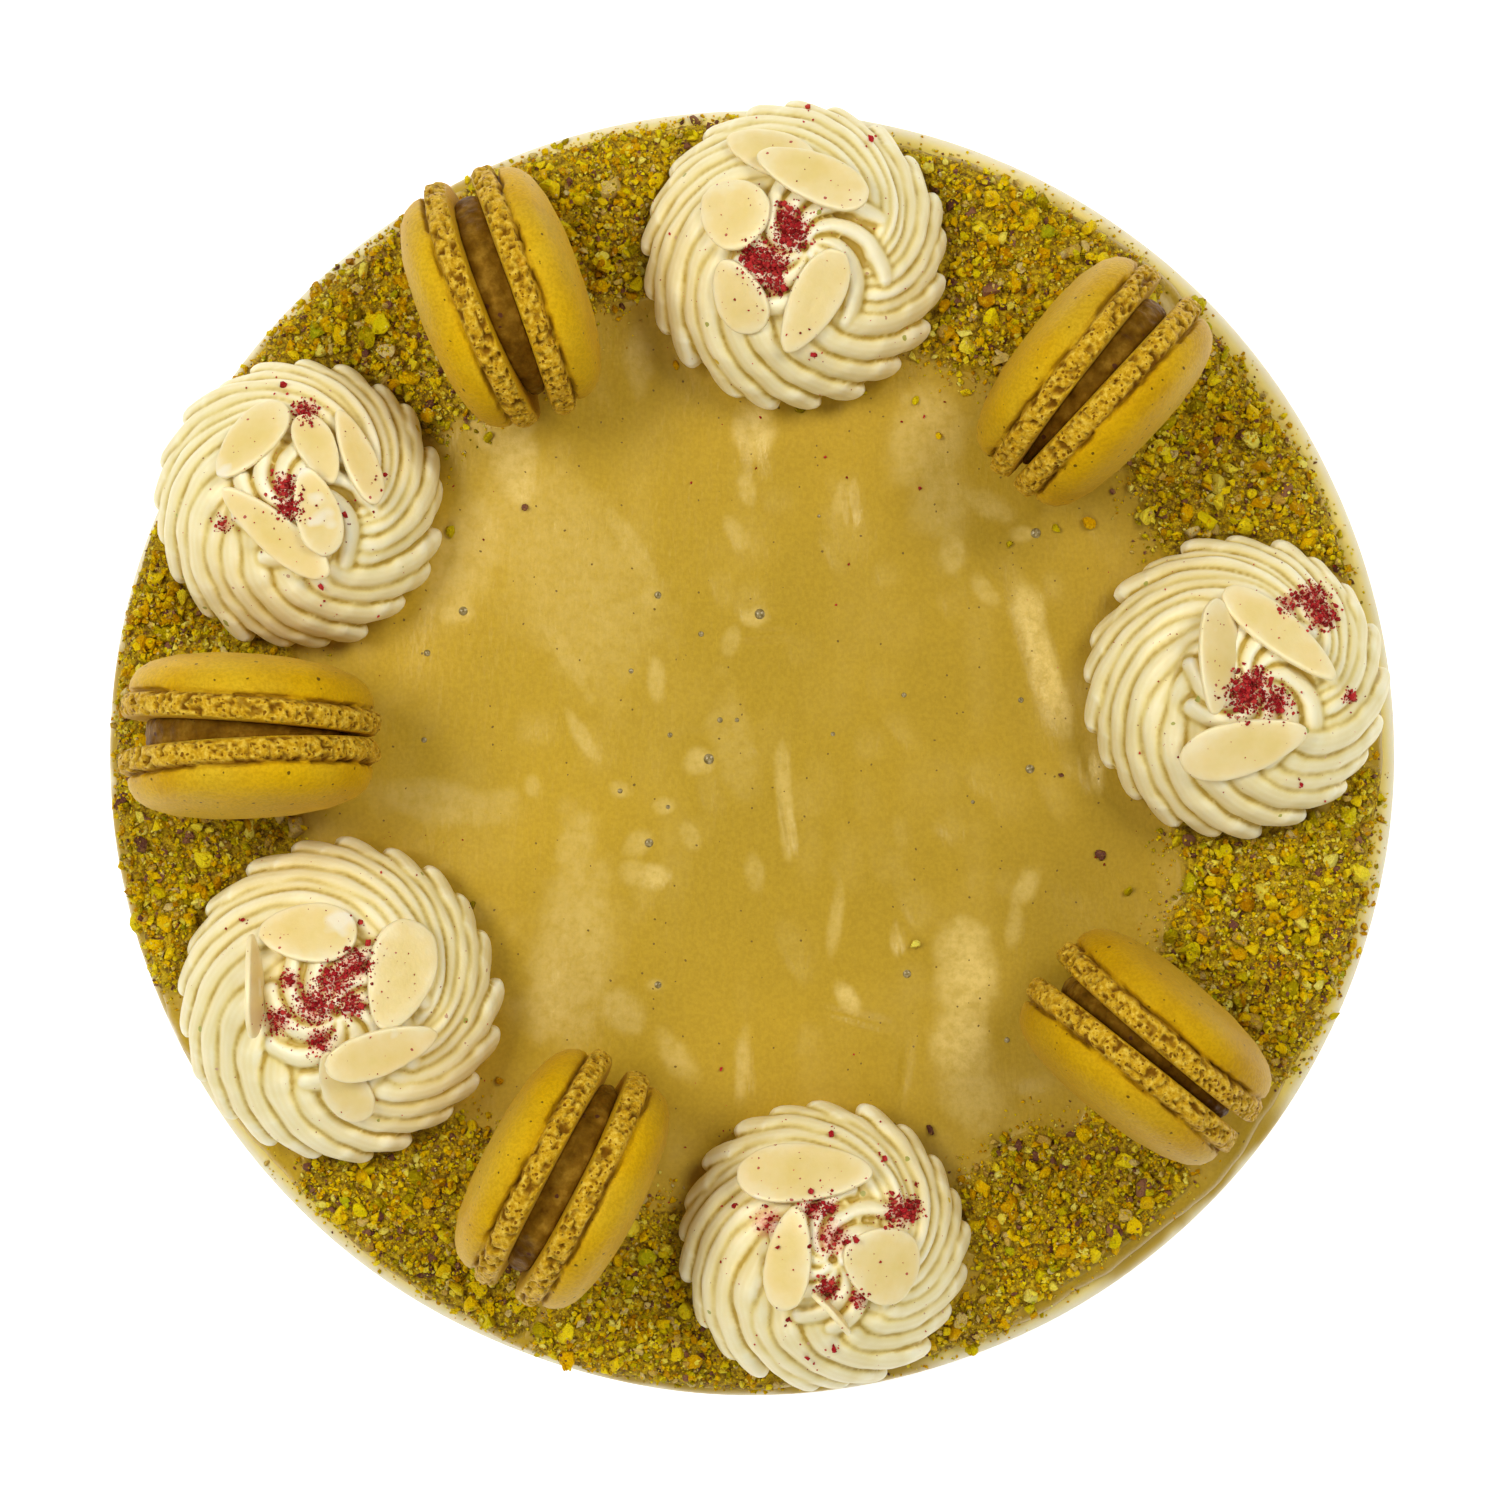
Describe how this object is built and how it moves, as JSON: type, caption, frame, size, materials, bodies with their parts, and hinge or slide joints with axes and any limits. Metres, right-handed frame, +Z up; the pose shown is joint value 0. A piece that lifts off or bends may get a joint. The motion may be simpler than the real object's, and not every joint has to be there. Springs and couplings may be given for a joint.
{
  "type": "pistachio kunafa cheesecake",
  "caption": "Round uncut cheesecake with a glazed top, ringed by piped cream rosettes with almond flakes, upright macarons and banks of pistachio crumb.",
  "frame": {"origin": "middle of the cake's flat bottom", "axes": "+Z up through the cake's axis, +X towards the right of the picture, +Y towards its upper edge"},
  "size_m": [0.23, 0.23, 0.0995],
  "materials": {
    "ivory_cheesecake": "soft matt baked cream cheese, smoothed side",
    "pistachio_glaze": "satin pistachio cream glaze with pistachio crumb on it",
    "piped_cream": "satin piped cream with sprinkled dried red berry",
    "macaron_shell": "smooth matt baked shell with a porous foot",
    "macaron_filling": "soft brown caramel filling",
    "almond_flake": "thin satin sliced almond"
  },
  "bodies": {
    "root": {"cheesecake_body": "ivory_cheesecake", "pistachio_glaze": "pistachio_glaze", "cream_rosette_1": "piped_cream", "cream_rosette_2": "piped_cream", "cream_rosette_3": "piped_cream", "cream_rosette_4": "piped_cream", "cream_rosette_5": "piped_cream", "macaron_1_shell_a": "macaron_shell", "macaron_1_shell_b": "macaron_shell", "macaron_1_filling": "macaron_filling", "macaron_2_shell_a": "macaron_shell", "macaron_2_shell_b": "macaron_shell", "macaron_2_filling": "macaron_filling", "macaron_3_shell_a": "macaron_shell", "macaron_3_shell_b": "macaron_shell", "macaron_3_filling": "macaron_filling", "macaron_4_shell_a": "macaron_shell", "macaron_4_shell_b": "macaron_shell", "macaron_4_filling": "macaron_filling", "macaron_5_shell_a": "macaron_shell", "macaron_5_shell_b": "macaron_shell", "macaron_5_filling": "macaron_filling", "almond_flake_01": "almond_flake", "almond_flake_02": "almond_flake", "almond_flake_03": "almond_flake", "almond_flake_04": "almond_flake", "almond_flake_05": "almond_flake", "almond_flake_06": "almond_flake", "almond_flake_07": "almond_flake", "almond_flake_08": "almond_flake", "almond_flake_09": "almond_flake", "almond_flake_10": "almond_flake", "almond_flake_11": "almond_flake", "almond_flake_12": "almond_flake", "almond_flake_13": "almond_flake", "almond_flake_14": "almond_flake", "almond_flake_15": "almond_flake", "almond_flake_16": "almond_flake", "almond_flake_17": "almond_flake", "almond_flake_18": "almond_flake", "almond_flake_19": "almond_flake", "almond_flake_20": "almond_flake", "almond_flake_21": "almond_flake", "almond_flake_22": "almond_flake"}
  },
  "joints": []
}
